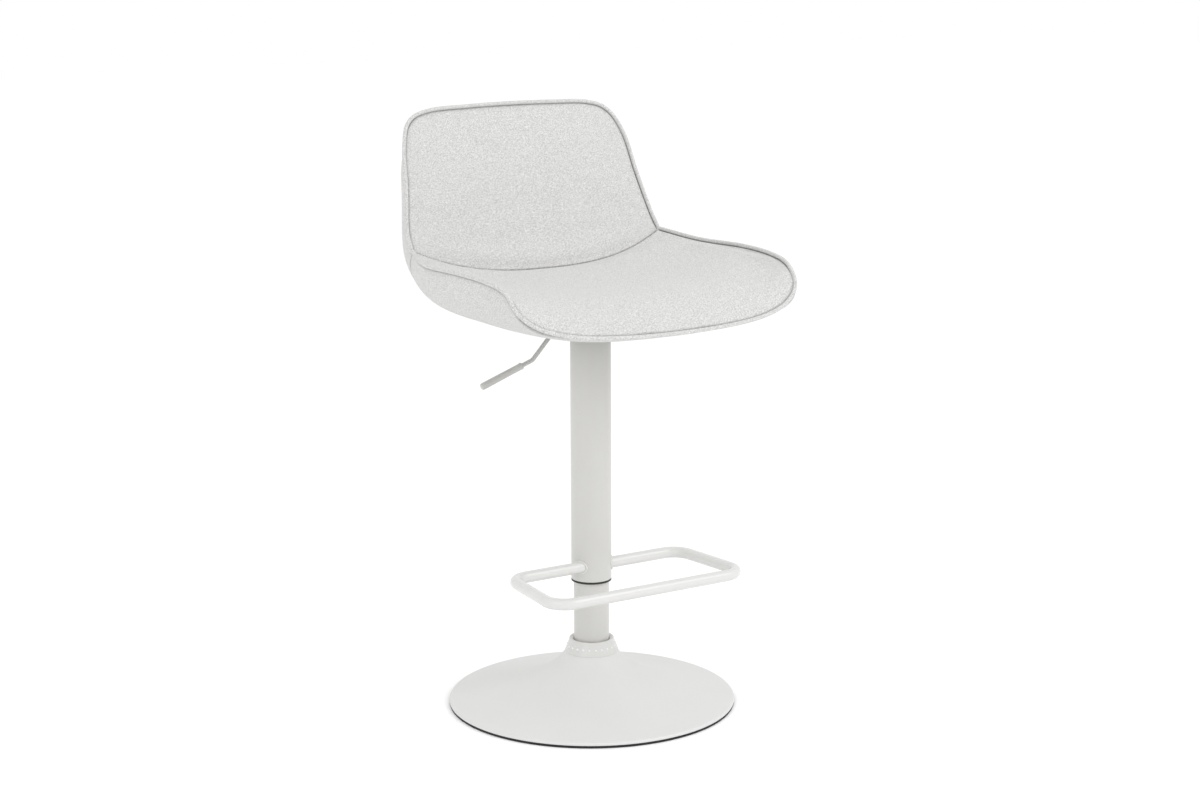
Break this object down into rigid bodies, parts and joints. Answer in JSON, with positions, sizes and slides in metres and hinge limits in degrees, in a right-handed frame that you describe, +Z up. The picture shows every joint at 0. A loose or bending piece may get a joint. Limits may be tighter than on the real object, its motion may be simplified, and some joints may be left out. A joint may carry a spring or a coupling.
{
  "type": "bar stool with footrest",
  "caption": "Height-adjustable swivelling bar stool with an upholstered bucket seat, footrest loop, gas lift with release lever and round trumpet base.",
  "frame": {"origin": "middle of the base on the floor, on the column's axis", "axes": "+Z up along the column, -Y towards the front of the seat and the footrest, +X towards the sitter's left"},
  "size_m": [0.4668, 0.4544, 0.8395],
  "materials": {
    "white_coat": "fine satin powder coat",
    "white_plastic": "moulded satin plastic",
    "upholstery": "fine melange weave with piped seams",
    "foam": "open-cell foam",
    "plywood": "moulded plywood",
    "black_steel": "black satin coat",
    "bright_steel": "ground and zinc-plated",
    "cast_iron": "rough painted casting",
    "black_plastic": "moulded acetal",
    "black_rubber": "matt rubber"
  },
  "bodies": {
    "base": {"base_dish": "white_coat", "floor_ring": "black_rubber", "ballast_plate": "cast_iron", "centre_foot": "black_rubber", "base_hub": "black_steel", "column_tube": "white_coat", "column_collar": "white_plastic", "guide_bushing": "black_plastic", "bearing_plate": "bright_steel", "thrust_washer_lower": "bright_steel"},
    "rod": {"piston_rod": "bright_steel", "piston": "black_plastic", "thrust_washer_upper": "bright_steel", "ball_cage": "bright_steel", "rod_clip": "bright_steel", "bump_stop": "black_rubber"},
    "seat": {"gas_cylinder": "black_steel", "cylinder_gland": "black_plastic", "outer_tube": "white_coat", "glide_ring": "black_plastic", "tube_top_ring": "black_steel", "footrest": "white_coat", "mechanism_plate": "black_steel", "taper_socket": "black_steel", "lever_bracket": "bright_steel", "lever_pivot": "bright_steel", "seat_bolt_1": "bright_steel", "seat_bolt_2": "bright_steel", "seat_bolt_3": "bright_steel", "seat_bolt_4": "bright_steel", "spring_washer_1": "bright_steel", "spring_washer_2": "bright_steel", "spring_washer_3": "bright_steel", "spring_washer_4": "bright_steel", "tee_nut_1": "bright_steel", "tee_nut_2": "bright_steel", "tee_nut_3": "bright_steel", "tee_nut_4": "bright_steel", "seat_shell": "plywood", "seat_foam": "foam", "back_foam": "foam", "seat_cover": "upholstery", "back_cover": "upholstery", "outer_cover": "upholstery", "seat_piping": "upholstery", "back_piping": "upholstery"},
    "lever": {"release_lever": "white_coat", "lever_grip": "white_plastic"},
    "pin": {"release_pin": "bright_steel"}
  },
  "joints": [
    {"name": "swivel", "type": "hinge", "parent": "base", "child": "rod", "pos_m": [0, 0, 0.05], "axis": [0, 0, 1], "continuous": true},
    {"name": "lift", "type": "slide", "parent": "rod", "child": "seat", "axis": [0, 0, 1], "range_m": [0, 0.21]},
    {"name": "lever_pull", "type": "hinge", "parent": "seat", "child": "lever", "pos_m": [-0.023, 0, 0.537], "axis": [0, 1, 0], "range_deg": [0, 6], "stiffness_Nm_per_rad": 2, "springref_deg": -5.73},
    {"name": "pin_press", "type": "slide", "parent": "seat", "child": "pin", "axis": [0, 0, -1], "range_m": [0, 0.0026]}
  ],
  "couplings": [
    {"joint": "pin_press", "follows": "lever_pull", "m_per_rad": 0.023}
  ]
}
